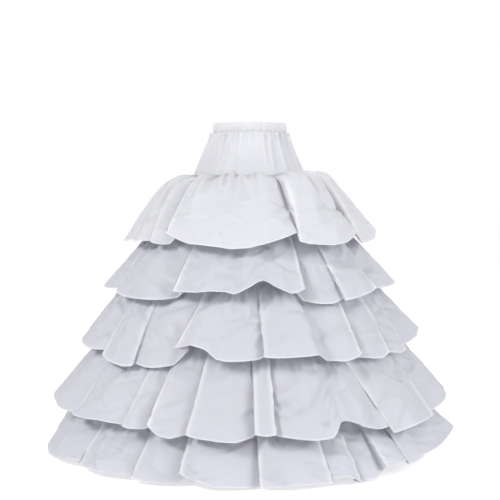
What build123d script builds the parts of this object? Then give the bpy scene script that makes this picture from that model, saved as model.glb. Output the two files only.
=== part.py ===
from build123d import *
import os
from dataclasses import dataclass
from math import cos, degrees, exp, hypot, prod, radians, sin

# A floor-length hoop petticoat, worn at the waist and standing on the hem of its lowest ruffle.
# The origin is on the floor under the waist. +Z is up, and the front faces -Y.
# Angles round the skirt are in degrees from the front, positive towards +X.
# All sizes are in millimetres.

# Waistband: a casing gathered over a band of elastic.
waist_radius = 105.0
waistband_height = 30.0
casing_cloth = 1.2
elastic_thickness = 1.6
elastic_width = 26.0
elastic_clearance = 0.3
waistband_pucker = 1.2

# Yoke: the gathered cloth from the waistband down to the first ruffle.
yoke_seam_height = 820.0
yoke_height = 130.0
yoke_cloth = 1.2
yoke_gather = 3.0
yoke_puff = 4.0
yoke_puff_drop = 9.0
yoke_seam_radius = 168.0

# Underskirt: cloth held straight from hoop to hoop, so its wall bends only at a hoop.
underskirt_cloth = 1.2
underskirt_hem_height = 22.0
underskirt_hem_flare = 6.0
hoop_1_height = 625.0
hoop_1_radius = 296.0
hoop_2_height = 430.0
hoop_2_radius = 396.0
hoop_3_height = 240.0
hoop_3_radius = 470.0
hoop_4_height = 48.0
hoop_4_radius = 528.0

# Hoops: flat steel strip bent round and joined at the back in a crimped sleeve.
strip_width = 6.0
strip_thickness = 1.2
strip_end_gap = 1.0
sleeve_length = 40.0
sleeve_wall = 0.5
sleeve_clearance = 0.1

# Hoop casings: tape sewn to the inside of the underskirt along both its edges.
tape_cloth = 0.8
tape_width = 24.0
tape_bevel = 2.0
casing_clearance = 0.3

# Ruffles: five gathered flounces, each sewn to the outside of the underskirt along its top.
ruffle_cloth = 1.2
ruffle_heading = 6.0
ruffle_gather = 2.5
seam_clearance = 0.2
ruffle_clearance = 3.0
hem_arch = 22.0
seam_1_below_yoke = 1.0
seam_2_height = 676.0
seam_3_height = 516.0
seam_4_height = 353.0
ruffle_1_fall = 190.0
ruffle_2_fall = 184.0
ruffle_3_fall = 186.0
ruffle_4_fall = 214.0
ruffle_5_fall = 196.0
ruffle_1_fold_depth = 52.0
ruffle_2_fold_depth = 58.0
ruffle_3_fold_depth = 58.0
ruffle_4_fold_depth = 62.0
ruffle_5_fold_depth = 46.0
ruffle_5_stand = 36.0
ruffle_1_puff = 80.0
puff_rise = 0.06

# Gathers are small pleats with flat sides, so a ring has a point on each ridge and in each groove.
gathers_round = 90
ring_points = 2 * gathers_round

# How far down its fall each ring of a ruffle lies, from the seam to the hem.
RING_STEPS = (0.0, 0.15, 0.5, 1.0)

# The inward folds of each ruffle: angle, depth (1 is the full fold depth) and half width.
FOLDS_1 = (
    (-98, 0.8, 24), (-72, 0.5, 20), (-50, 0.8, 18), (-40, 1.0, 18), (-10, 0.25, 24), (21, 1.0, 24),
    (59, 0.9, 24), (88, 0.8, 24), (118, 1.0, 24), (148, 0.8, 22), (176, 1.0, 26), (206, 0.9, 24),
    (236, 0.9, 24),
)
FOLDS_2 = (
    (-96, 0.8, 26), (-64, 0.9, 22), (-30, 1.0, 24), (5, 0.5, 34), (21, 0.9, 22), (37, 0.8, 22),
    (56, 0.9, 22), (70, 0.8, 22), (95, 1.0, 26), (121, 0.9, 24), (147, 0.8, 24), (174, 1.0, 26),
    (203, 0.9, 24), (232, 0.9, 24),
)
FOLDS_3 = (
    (-88, 0.9, 24), (-53, 0.9, 22), (-43, 0.8, 22), (-24, 1.0, 28), (4, 0.5, 20), (26, 0.5, 26),
    (38, 1.0, 22), (52, 0.9, 22), (63, 0.8, 22), (80, 0.9, 24), (104, 1.0, 26), (128, 0.8, 24),
    (151, 1.0, 26), (178, 0.9, 24), (204, 1.0, 26), (230, 0.8, 24), (252, 0.9, 24),
)
FOLDS_4 = (
    (-90, 0.9, 26), (-59, 0.9, 24), (-36, 0.5, 22), (-28, 0.9, 22), (-17, 0.8, 24), (1, 0.8, 20),
    (7, 0.7, 20), (27, 0.6, 28), (41, 1.0, 24), (63, 0.9, 24), (84, 0.9, 26), (106, 1.0, 26),
    (130, 0.8, 24), (155, 1.0, 28), (182, 0.9, 26), (208, 1.0, 26), (236, 0.8, 24),
)
FOLDS_5 = (
    (-80, 0.8, 26), (-53, 0.9, 24), (-33, 0.9, 24), (-18, 1.0, 26), (2, 0.9, 24), (21, 0.9, 24),
    (29, 0.8, 20), (36, 0.8, 20), (45, 0.8, 22), (56, 0.9, 24), (78, 0.9, 26), (100, 0.8, 26),
    (123, 1.0, 26), (147, 0.9, 26), (171, 1.0, 28), (196, 0.8, 26), (220, 1.0, 26), (246, 0.9, 26),
)

waistband_bottom = yoke_seam_height + yoke_height
seam_1_height = yoke_seam_height - seam_1_below_yoke - ruffle_heading
seam_5_height = ruffle_5_fall

# The underskirt wall's inner face from top to bottom, as (radius, height).
WALL = (
    (yoke_seam_radius, yoke_seam_height),
    (hoop_1_radius, hoop_1_height),
    (hoop_2_radius, hoop_2_height),
    (hoop_3_radius, hoop_3_height),
    (hoop_4_radius, hoop_4_height),
    (hoop_4_radius + underskirt_hem_flare, underskirt_hem_height),
)


def wall_radius(height):
    """The radius of the underskirt's outer face at a height, carried on past its hem."""
    for (upper_radius, upper), (lower_radius, lower) in zip(WALL, WALL[1:]):
        if height >= lower:
            break
    share = (upper - height) / (upper - lower)
    return upper_radius + share * (lower_radius - upper_radius) + underskirt_cloth


@dataclass
class Ruffle:
    """One flounce: the height of its seam, how far it falls and how it stands off the wall."""

    seam_height: float
    fall: float
    stand: float
    fold_depth: float
    puff: float
    arch: float
    folds: tuple

    def openness(self, angle, step):
        """1 on the crest of a lobe, falling towards 0 in the bottom of a fold."""
        circle = radians(1) * wall_radius(self.seam_height - self.fall)
        shares = []
        for fold_angle, depth, half_width in self.folds:
            apart = (angle - nearest_ring_angle(fold_angle) + 180) % 360 - 180
            shares.append(1 - depth * step * exp(-((apart * circle / half_width) ** 2)))
        return prod(shares)

    def stand_off(self, step, openness):
        """How far the ruffle's inner face stands off the wall at a step down its fall."""
        puffed = self.puff * (1 - step) * (1 - exp(-step / puff_rise))
        return (
            seam_clearance + self.stand * step + (self.fold_depth * step**0.8 + puffed) * openness
        )

    def crest_at(self, height):
        """How far the outer face of a crest stands off the wall at a height."""
        step = max(0.0, (self.seam_height - height) / self.fall)
        return self.stand_off(step, 1.0) + ruffle_gather + ruffle_cloth

    def inner_ring(self, step):
        """The points of the inner face at a step down the fall."""
        points = []
        for index in range(ring_points):
            angle = 360 * index / ring_points
            openness = self.openness(angle, step)
            height = self.seam_height - self.fall * step + self.arch * step * (1 - openness)
            gather = ruffle_gather * (1 - step) ** 2 * bunching(angle) if step else 0.0
            radius = wall_radius(height) + self.stand_off(step, openness) + gather
            points.append(around(radius, angle, height))
        return points


def nearest_ring_angle(angle):
    """The angle of the ring point nearest to an angle, so that a fold's bottom is a sharp line."""
    pitch = 360 / ring_points
    return pitch * round(angle / pitch)


def around(radius, angle, height):
    """A point at an angle round the skirt."""
    return (radius * sin(radians(angle)), -radius * cos(radians(angle)), height)


def bunching(angle):
    """0 in the bottom of a gather and 1 on its top."""
    return (1 + cos(gathers_round * radians(angle))) / 2


def ring(radius_at, height):
    """Points round the skirt at one height, from a radius for each angle."""
    angles = [360 * index / ring_points for index in range(ring_points)]
    return [around(radius_at(angle), angle, height) for angle in angles]


def offset_ring(points, distance):
    """The ring moved outwards by a distance, square to its own line seen from above."""
    moved = []
    for index, (x, y, z) in enumerate(points):
        before = points[index - 1]
        after = points[(index + 1) % len(points)]
        along_x, along_y = after[0] - before[0], after[1] - before[1]
        length = hypot(along_x, along_y)
        moved.append((x + distance * along_y / length, y - distance * along_x / length, z))
    return moved


def cloth_faces(ring_above, ring_below):
    """Flat facets from one ring to the next, two for each pair of points."""
    faces = []
    for index in range(ring_points):
        upper, lower = ring_above[index - 1], ring_below[index - 1]
        next_upper, next_lower = ring_above[index], ring_below[index]
        faces.append(Face(Wire.make_polygon([upper, next_upper, next_lower])))
        faces.append(Face(Wire.make_polygon([upper, next_lower, lower])))
    return faces


def cut_edge(outer_ring, inner_ring):
    """The cloth's edge between two rings: one flat face if they are level."""
    if len({height for _, _, height in outer_ring + inner_ring}) > 1:
        return cloth_faces(outer_ring, inner_ring)
    return [Face(Wire.make_polygon(outer_ring), [Wire.make_polygon(inner_ring)])]


def cloth_shell(outer_rings, inner_rings):
    """A closed solid between two stacks of rings, each from top to bottom."""
    faces = cut_edge(outer_rings[0], inner_rings[0]) + cut_edge(outer_rings[-1], inner_rings[-1])
    for rings in (outer_rings, inner_rings):
        for above, below in zip(rings, rings[1:]):
            faces += cloth_faces(above, below)
    return Solid(Shell(faces))


def revolved(outline, start=0.0, turn=360.0):
    """An outline of (radius, height) points turned round the skirt's axis."""
    face = make_face(Polyline(*[(radius, 0, height) for radius, height in outline], close=True))
    return Rot(0, 0, start) * revolve(face, Axis.Z, turn)


def make_waist_elastic():
    """The elastic inside the waistband."""
    inner = waist_radius + casing_cloth + elastic_clearance
    middle = waistband_bottom + waistband_height / 2
    low, high = middle - elastic_width / 2, middle + elastic_width / 2
    outer = inner + elastic_thickness
    return revolved([(inner, low), (outer, low), (outer, high), (inner, high)])


def make_waistband():
    """The casing: a smooth inside against the waist, a puckered outside and a closed channel."""
    channel_inner = waist_radius + casing_cloth
    channel_outer = channel_inner + elastic_thickness + 2 * elastic_clearance
    low = waistband_bottom + casing_cloth
    high = waistband_bottom + waistband_height - casing_cloth

    def outer_radius(angle):
        return channel_outer + casing_cloth + waistband_pucker * bunching(angle)

    outline = make_face(Polyline(*ring(outer_radius, waistband_bottom), close=True))
    body = extrude(outline, waistband_height)
    lifted = Pos(0, 0, waistband_bottom + waistband_height / 2)
    body -= lifted * Cylinder(waist_radius, 2 * waistband_height)
    channel = [(channel_inner, low), (channel_outer, low), (channel_outer, high), (channel_inner, high)]
    return body - revolved(channel)


def make_yoke():
    """The gathered yoke, from under the waistband to the underskirt's top edge."""
    top_radius = waist_radius + casing_cloth
    puff_height = waistband_bottom - yoke_puff_drop
    middle_height = (waistband_bottom + yoke_seam_height) / 2
    middle_radius = (top_radius + yoke_puff + yoke_seam_radius) / 2
    levels = (
        (top_radius, waistband_bottom, 0.0),
        (top_radius + yoke_puff, puff_height, 1.0),
        (middle_radius, middle_height, 1.0),
        (yoke_seam_radius, yoke_seam_height, 0.0),
    )
    inner, outer = [], []
    for radius, height, share in levels:
        inner.append(ring(lambda angle: radius + share * yoke_gather * bunching(angle), height))
        outer.append(offset_ring(inner[-1], yoke_cloth))
    outer[-1] = ring(lambda angle: yoke_seam_radius + underskirt_cloth, yoke_seam_height)
    return cloth_shell(outer, inner)


def make_underskirt():
    """The plain cloth cone that the ruffles and the hoop casings are sewn to."""
    outside = [(radius + underskirt_cloth, height) for radius, height in WALL]
    return revolved(list(WALL) + outside[::-1])


@dataclass
class HoopSeat:
    """The place of one hoop: the wall's bend, and the directions along and into the wall."""

    knot: tuple
    up: tuple
    down: tuple

    def __post_init__(self):
        tangent = (self.up[0] - self.down[0], self.up[1] - self.down[1])
        length = hypot(*tangent)
        self.along = (tangent[0] / length, tangent[1] / length)
        self.inward = (-self.along[1], self.along[0])

    def point(self, along, inward):
        """A point by its distance up the wall and in from the bend."""
        radius, height = self.knot
        return (
            radius + self.along[0] * along + self.inward[0] * inward,
            height + self.along[1] * along + self.inward[1] * inward,
        )

    def on_wall(self, distance):
        """A point on the wall's inner face, up or down from the bend."""
        way = self.up if distance > 0 else self.down
        return (
            self.knot[0] + way[0] * abs(distance),
            self.knot[1] + way[1] * abs(distance),
        )

    def recess(self, distance):
        """How far the wall has drawn in at a distance from the bend."""
        cross = self.up[0] * self.along[1] - self.up[1] * self.along[0]
        return abs(distance * cross)

    def block(self, half_width, outer, inner):
        """A rectangle along the wall, between two distances in from the bend."""
        return [
            self.point(half_width, outer),
            self.point(half_width, inner),
            self.point(-half_width, inner),
            self.point(-half_width, outer),
        ]


def unit(start, end):
    """The direction from one (radius, height) point to another."""
    length = hypot(end[0] - start[0], end[1] - start[1])
    return ((end[0] - start[0]) / length, (end[1] - start[1]) / length)


sleeve_half_width = strip_width / 2 + sleeve_clearance + sleeve_wall
sleeve_half_depth = strip_thickness / 2 + sleeve_clearance + sleeve_wall
channel_half_width = sleeve_half_width + casing_clearance
channel_half_depth = sleeve_half_depth + casing_clearance
HOOP_SEATS = [
    HoopSeat(knot, unit(knot, above), unit(knot, below))
    for above, knot, below in zip(WALL, WALL[1:], WALL[2:])
]


def strip_depth(seat):
    """How far in from the wall's bend the middle of the strip lies."""
    return seat.recess(channel_half_width) + tape_cloth + channel_half_depth


def make_hoop(seat):
    """The steel strip, open by a small gap at the back."""
    middle = strip_depth(seat)
    section = seat.block(
        strip_width / 2, middle - strip_thickness / 2, middle + strip_thickness / 2
    )
    half_gap = degrees(strip_end_gap / 2 / seat.knot[0])
    return revolved(section, 90 + half_gap, 360 - 2 * half_gap)


def make_hoop_sleeve(seat):
    """The crimped sleeve over the strip's two ends."""
    middle = strip_depth(seat)
    hole_half_depth = strip_thickness / 2 + sleeve_clearance
    hole = seat.block(
        strip_width / 2 + sleeve_clearance, middle - hole_half_depth, middle + hole_half_depth
    )
    shell = seat.block(sleeve_half_width, middle - sleeve_half_depth, middle + sleeve_half_depth)
    turn = degrees(sleeve_length / seat.knot[0])
    start = 90 - turn / 2
    return revolved(shell, start, turn) - revolved(hole, start - turn, 3 * turn)


def make_hoop_casing(seat):
    """The tape: flat edges on the wall and a raised channel for the strip between them."""
    middle = strip_depth(seat)
    channel = seat.block(channel_half_width, middle - channel_half_depth, middle + channel_half_depth)
    back = middle + channel_half_depth + tape_cloth
    ridge = channel_half_width + tape_cloth
    foot = ridge + tape_bevel
    foot_depth = seat.recess(foot) + tape_cloth
    edge = tape_width / 2
    upper, lower = seat.on_wall(edge), seat.on_wall(-edge)
    lift = (seat.inward[0] * tape_cloth, seat.inward[1] * tape_cloth)
    outline = [
        seat.knot,
        upper,
        (upper[0] + lift[0], upper[1] + lift[1]),
        seat.point(foot, foot_depth),
        seat.point(ridge, back),
        seat.point(-ridge, back),
        seat.point(-foot, foot_depth),
        (lower[0] + lift[0], lower[1] + lift[1]),
        lower,
    ]
    return revolved(outline) - revolved(channel)


def make_ruffle(ruffle):
    """A gathered flounce: a flat heading on the wall, then lobes and folds down to the hem."""
    heading_top = ruffle.seam_height + ruffle_heading
    inner, outer = [], []
    for height in (heading_top, ruffle.seam_height):
        seat = wall_radius(height) + seam_clearance
        inner.append(ring(lambda angle: seat, height))
        outer.append(
            ring(lambda angle: seat + ruffle_cloth + ruffle_gather * bunching(angle), height)
        )
    for step in RING_STEPS[1:]:
        inner.append(ruffle.inner_ring(step))
        outer.append(offset_ring(inner[-1], ruffle_cloth))
    return cloth_shell(outer, inner)


def make_ruffles():
    """The five flounces, worked out from the lowest up, since each hangs clear of the next."""
    lowest = Ruffle(
        seam_5_height, ruffle_5_fall, ruffle_5_stand, ruffle_5_fold_depth, 0.0, 0.0, FOLDS_5
    )
    ruffles = [lowest]
    for seam_height, fall, fold_depth, puff, folds in (
        (seam_4_height, ruffle_4_fall, ruffle_4_fold_depth, 0.0, FOLDS_4),
        (seam_3_height, ruffle_3_fall, ruffle_3_fold_depth, 0.0, FOLDS_3),
        (seam_2_height, ruffle_2_fall, ruffle_2_fold_depth, 0.0, FOLDS_2),
        (seam_1_height, ruffle_1_fall, ruffle_1_fold_depth, ruffle_1_puff, FOLDS_1),
    ):
        stand = ruffles[-1].crest_at(seam_height - fall) + ruffle_clearance
        ruffles.append(Ruffle(seam_height, fall, stand, fold_depth, puff, hem_arch, folds))
    return [make_ruffle(ruffle) for ruffle in ruffles[::-1]]


pieces = {
    "waistband": make_waistband(),
    "waist_elastic": make_waist_elastic(),
    "yoke": make_yoke(),
    "underskirt": make_underskirt(),
}
for number, seat in enumerate(HOOP_SEATS, 1):
    pieces[f"hoop_{number}"] = make_hoop(seat)
    pieces[f"hoop_sleeve_{number}"] = make_hoop_sleeve(seat)
    pieces[f"hoop_casing_{number}"] = make_hoop_casing(seat)
for number, flounce in enumerate(make_ruffles(), 1):
    pieces[f"ruffle_{number}"] = flounce

os.makedirs("parts", exist_ok=True)
for name, piece in pieces.items():
    export_step(piece, f"parts/{name}.step")
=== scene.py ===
import math
import random
from dataclasses import dataclass, field

import bpy
import numpy as np
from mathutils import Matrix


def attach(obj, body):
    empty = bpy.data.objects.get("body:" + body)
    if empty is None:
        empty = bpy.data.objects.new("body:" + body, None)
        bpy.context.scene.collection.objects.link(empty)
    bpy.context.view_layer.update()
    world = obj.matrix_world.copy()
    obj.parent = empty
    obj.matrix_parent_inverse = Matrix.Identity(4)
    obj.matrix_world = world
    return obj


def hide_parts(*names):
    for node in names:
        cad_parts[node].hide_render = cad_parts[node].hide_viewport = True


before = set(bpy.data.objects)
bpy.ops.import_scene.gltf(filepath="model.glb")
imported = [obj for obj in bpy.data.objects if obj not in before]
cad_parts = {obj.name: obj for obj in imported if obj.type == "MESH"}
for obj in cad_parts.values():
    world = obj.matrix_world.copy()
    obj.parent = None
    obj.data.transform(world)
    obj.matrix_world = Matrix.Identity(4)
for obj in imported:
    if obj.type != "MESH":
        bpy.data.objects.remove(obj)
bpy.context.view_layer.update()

bl_info = {
    "name": "Ruffled hoop petticoat",
    "version": (1, 0, 0),
    "blender": (4, 5, 0),
    "location": "3D View > Sidebar > Petticoat",
    "description": "Sews the cloth of a hoop petticoat round its packed frame",
    "category": "Object",
}

# The pattern of the petticoat is in millimetres, as its solids are. Angles are in degrees round
# the skirt from the front, positive towards +X. The meshes are made in metres.
MM = 0.001

# The underskirt's inner face from the floor up, as heights and radii, carried on past both ends.
WALL_HEIGHTS = (0.0, 22.0, 48.0, 240.0, 430.0, 625.0, 820.0, 900.0)
WALL_RADII = (539.1, 534.0, 528.0, 470.0, 396.0, 296.0, 168.0, 115.5)
HOOP_HEIGHTS = (625.0, 430.0, 240.0, 48.0)
UNDERSKIRT_CLOTH = 1.2
UNDERSKIRT_HEM = 22.0
YOKE_SEAM_RADIUS = 168.0
WAIST_RADIUS = 105.0
RING_COLUMNS = 300

# A hoop casing's cross-section: the tape's half width and cloth, how far its slope reaches past
# the ridge over the hoop, and half of the ridge, of the channel and of the channel's depth.
TAPE_HALF = 12.0
TAPE_CLOTH = 0.8
TAPE_SLOPE = 2.0
RIDGE_HALF = 4.7
CHANNEL_HALF = 3.9
CHANNEL_HALF_DEPTH = 1.5

# The waistband's outer face as radius, height and share of the puckers: from inside at the bottom
# out under the frill, up past the groove, over the top and down the inside.
BAND_SECTION = (
    (105.0, 950.4, 0.0), (107.5, 949.9, 0.3), (109.0, 950.4, 0.7), (109.2, 951.8, 0.6),
    (108.7, 953.2, 0.2), (109.7, 955.4, 0.8), (109.9, 962.0, 1.1), (109.9, 970.0, 1.1),
    (109.7, 976.0, 0.6), (109.0, 979.0, 0.9), (107.6, 980.0, 0.5), (106.0, 979.9, 0.2),
    (105.0, 978.6, 0.0), (105.0, 972.0, 0.0), (105.0, 958.0, 0.0),
)
BAND_MIDDLE = 965.0

# The yoke's gathers, first the small ones and then the long folds: how many, how far each strays
# from its even place, the ranges of height, width and reach, and if they are fuller at the sides.
YOKE_GATHERS = (
    (84, 2.0, (1.2, 3.2), (0.8, 1.3), (0.2, 0.7), False),
    (26, 6.0, (5.0, 9.0), (1.5, 2.4), (1.2, 2.4), True),
)

# What all ruffles share: the heading over the seam, the hem's turning, the cloth and gathers of
# their solids, the room over the next one, and how soon below the seam a puff is full.
HEADING = 6.0
SEAM_CLEARANCE = 0.2
RUFFLE_CLOTH = 1.2
RUFFLE_GATHER = 2.5
RUFFLE_CLEARANCE = 3.0
PUFF_RISE = 0.06
GATHER_SPACING = 15.0

# A fold: how far the cloth turns back under its lip, how far the lip laps over, how far the slope
# behind it reaches, the share of its depth that the lip keeps, and an open valley's half width.
TURN_BACK = 13.0
LONGEST_LAP = 24.0
LONGEST_REACH = 105.0
LIP_SHARE = 0.2
VALLEY_HALF = 34.0

# Where the front view's outline runs down the ruffles, and how far beside it they lie smoother.
OUTLINE_ANGLE = 84.0
OUTLINE_CALM = 12.0

# How the ruffles settle: the frames, the rows and the spacing of the coarse cloth, its extra
# fullness, how far a point may move, and the longest buckle that is kept.
SETTLE_FRAMES = 14
DRAPE_ROWS = 25
DRAPE_SPACING = 8.0
DRAPE_FULLNESS = 0.09
FARTHEST_MOVE = 11.0
LONGEST_BUCKLE = 260.0

# Folds of each ruffle: the lip's angle at the hem and at the seam, the depth (1 is full), and the
# side that laps over (1: the lobe on the right, -1: the one on the left, 0: an open valley).
FOLDS_1 = (
    (-106, -106, 0.8, 1), (-66, -76, 0.7, 1), (-50, -63, 0.8, 1), (-40, -44, 1.0, 1),
    (21, 26, 0.7, 1), (59, 68, 0.7, 1), (92, 94, 0.8, -1), (118, 118, 1.0, 1),
    (148, 146, 0.8, -1), (176, 176, 1.0, 1), (206, 205, 0.9, 1), (236, 236, 0.9, -1),
)
FOLDS_2 = (
    (-96, -98, 0.8, 1), (-64, -78, 0.9, 1), (-30, -29, 1.0, 1), (-9, -10, 0.3, 0),
    (5, 5, 0.45, 0), (21, 23, 0.9, -1), (37, 36, 0.45, 1), (56, 60, 0.6, -1),
    (95, 96, 1.0, -1), (121, 121, 0.9, 1), (147, 147, 0.8, -1), (174, 174, 1.0, 1),
    (203, 203, 0.9, -1), (232, 232, 0.9, 1),
)
FOLDS_3 = (
    (-88, -88, 0.9, 1), (-57, -57, 0.9, 1), (-39, -43, 0.35, -1), (-24, -18, 1.0, 1),
    (4, 4, 0.5, 1), (26, 22, 0.5, 0), (38, 39, 1.0, -1), (52, 54, 0.9, -1),
    (63, 66, 0.8, -1), (94, 95, 0.9, -1), (128, 128, 0.8, 1), (151, 151, 1.0, -1),
    (178, 178, 0.9, 1), (204, 204, 1.0, -1), (230, 230, 0.8, 1), (252, 252, 0.9, -1),
)
FOLDS_4 = (
    (-90, -88, 0.9, 1), (-59, -54, 0.9, 1), (-36, -33, 0.5, 1), (-28, -26, 0.9, 1),
    (-17, -14, 0.8, 1), (1, 1, 0.8, 1), (7, 6, 0.7, -1), (27, 24, 0.6, 0),
    (41, 32, 0.5, 1), (63, 60, 0.7, -1), (97, 97, 0.9, -1), (130, 130, 0.8, 1),
    (155, 155, 1.0, -1), (182, 182, 0.9, 1), (208, 208, 1.0, -1), (236, 236, 0.8, 1),
)
FOLDS_5 = (
    (-82, -82, 0.8, 1), (-51.5, -49, 0.9, 1), (-31.5, -29, 0.9, 1), (-18, -17, 1.0, 1),
    (2, 2, 0.9, 1), (21, 18, 0.7, -1), (29, 26, 0.6, -1), (36, 34, 0.6, 1),
    (45, 42, 0.6, 1), (52, 52, 0.5, -1), (92, 92, 0.9, -1), (123, 123, 1.0, 1),
    (147, 147, 0.9, -1), (171, 171, 1.0, 1), (196, 196, 0.8, -1), (220, 220, 1.0, 1),
    (246, 246, 0.9, -1),
)

# Long ridges below the first ruffle's seam: angle, lean, width, height and reach down the fall.
RIDGES_1 = (
    (-29, -8, 2.0, 4.0, 0.7), (-20, -4, 1.8, 4.0, 0.5), (-13, 6, 1.8, 5.0, 0.5),
    (-5, 15, 1.8, 7.0, 0.8), (5, 6, 1.8, 5.0, 0.55), (13, 3, 2.0, 4.0, 0.5),
    (27, 9, 1.8, 5.0, 0.9), (34, 6, 1.8, 5.0, 0.7), (43, 10, 2.2, 4.0, 0.6),
)

# How much higher than its level line each hem hangs at an angle, where the ruffle faces forward.
HEM_1 = (
    (-98, 0), (-67, 3), (-54, 4), (-50, 12), (-43.5, -4), (-40, 38), (-34, 27), (-26, 6),
    (-8, -5), (0, -3), (5, 5), (11, 19), (17, 28), (21, 16), (26, 6), (37, 0), (46, 8),
    (55, 24), (59, 2), (72, 10), (84, 34), (100, 30),
)
HEM_2 = (
    (-96, 0), (-83, -4), (-63, -10), (-50, -16), (-41, -20), (-34, -24), (-30, 7), (-25, 14),
    (-14, 8), (-6, 1), (-2, 18), (2, 31), (5, 34), (14, 8), (21, 20), (24.5, -28), (33, -26),
    (37, -22), (45, -10), (56, 7), (60, -2), (70, 7), (95, 4),
)
HEM_3 = (
    (-88, 0), (-71, -7), (-61, -20), (-57, -18), (-53, -28), (-43, -41), (-37, -34),
    (-28, -34), (-24, 21), (-18, 39), (-13, 25), (-10, -1), (-7, -9), (1, -8), (4, 5),
    (21, 3), (26, -21), (30, -18), (38, 2), (41, -25), (52, -5), (55, -16), (63, -10),
    (66, -16), (72, 10), (82, 32), (95, 26),
)
HEM_4 = (
    (-90, 26), (-74, 20), (-62, -6), (-59, 4), (-45, 12), (-39, 2), (-36, 8), (-31, -2),
    (-28, 19), (-22, -18), (-20, -16), (-17, -1), (-10, -8), (-5, -23), (-2, -17), (1, 4),
    (7, 4), (10, -15), (18, -12), (22, -8), (25, 17), (30, 12), (38, -10), (41, -19),
    (58, -4), (66, -4), (78, 38), (90, 30),
)
HEM_5 = (
    (-80, 4), (-54, 20), (-36, 12), (-28, 10), (-21, 5), (-18, 40), (-8, 6), (-2, 3), (2, 5),
    (18, 13), (21, 8), (25, 20), (29, 3), (33, 3), (36, 35), (45, 30), (56, 40), (66, 62),
    (78, 70), (92, 40), (105, 12),
)

# The lamps: name, place, size, and share of the key light's power. All shine at one height.
LAMPS = (
    ("key", (-3.1, -2.6, 2.9), 1.4, 1.0), ("front", (0.4, -4.2, 3.2), 2.4, 0.25),
    ("fill", (3.5, -1.9, 1.9), 2.6, 0.75), ("back", (0.6, 4.2, 2.6), 3.0, 0.7),
)
LAMP_AIM = 0.5
WHITE = (1.0, 1.0, 1.0, 1.0)


def cloth_radius(height):
    """The radius of the underskirt's outer face at a height."""
    return np.interp(height, WALL_HEIGHTS, WALL_RADII) + UNDERSKIRT_CLOTH


def apart(angle, centre):
    """The angle from a centre, from -180 to 180."""
    return (angle - centre + 180.0) % 360.0 - 180.0


def around(radius, angle, height):
    """Points from radii, angles and heights."""
    turn = np.radians(angle)
    return np.stack([radius * np.sin(turn), -radius * np.cos(turn), height + 0.0 * turn], axis=-1)


def all_round(columns):
    """Even angles all round, from the back."""
    return np.linspace(-180.0, 180.0, columns, endpoint=False)


def as_grid(angle, step):
    """Angles as columns and steps down the fall as rows."""
    return np.asarray(angle)[None, :], np.asarray(step)[:, None]


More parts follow.
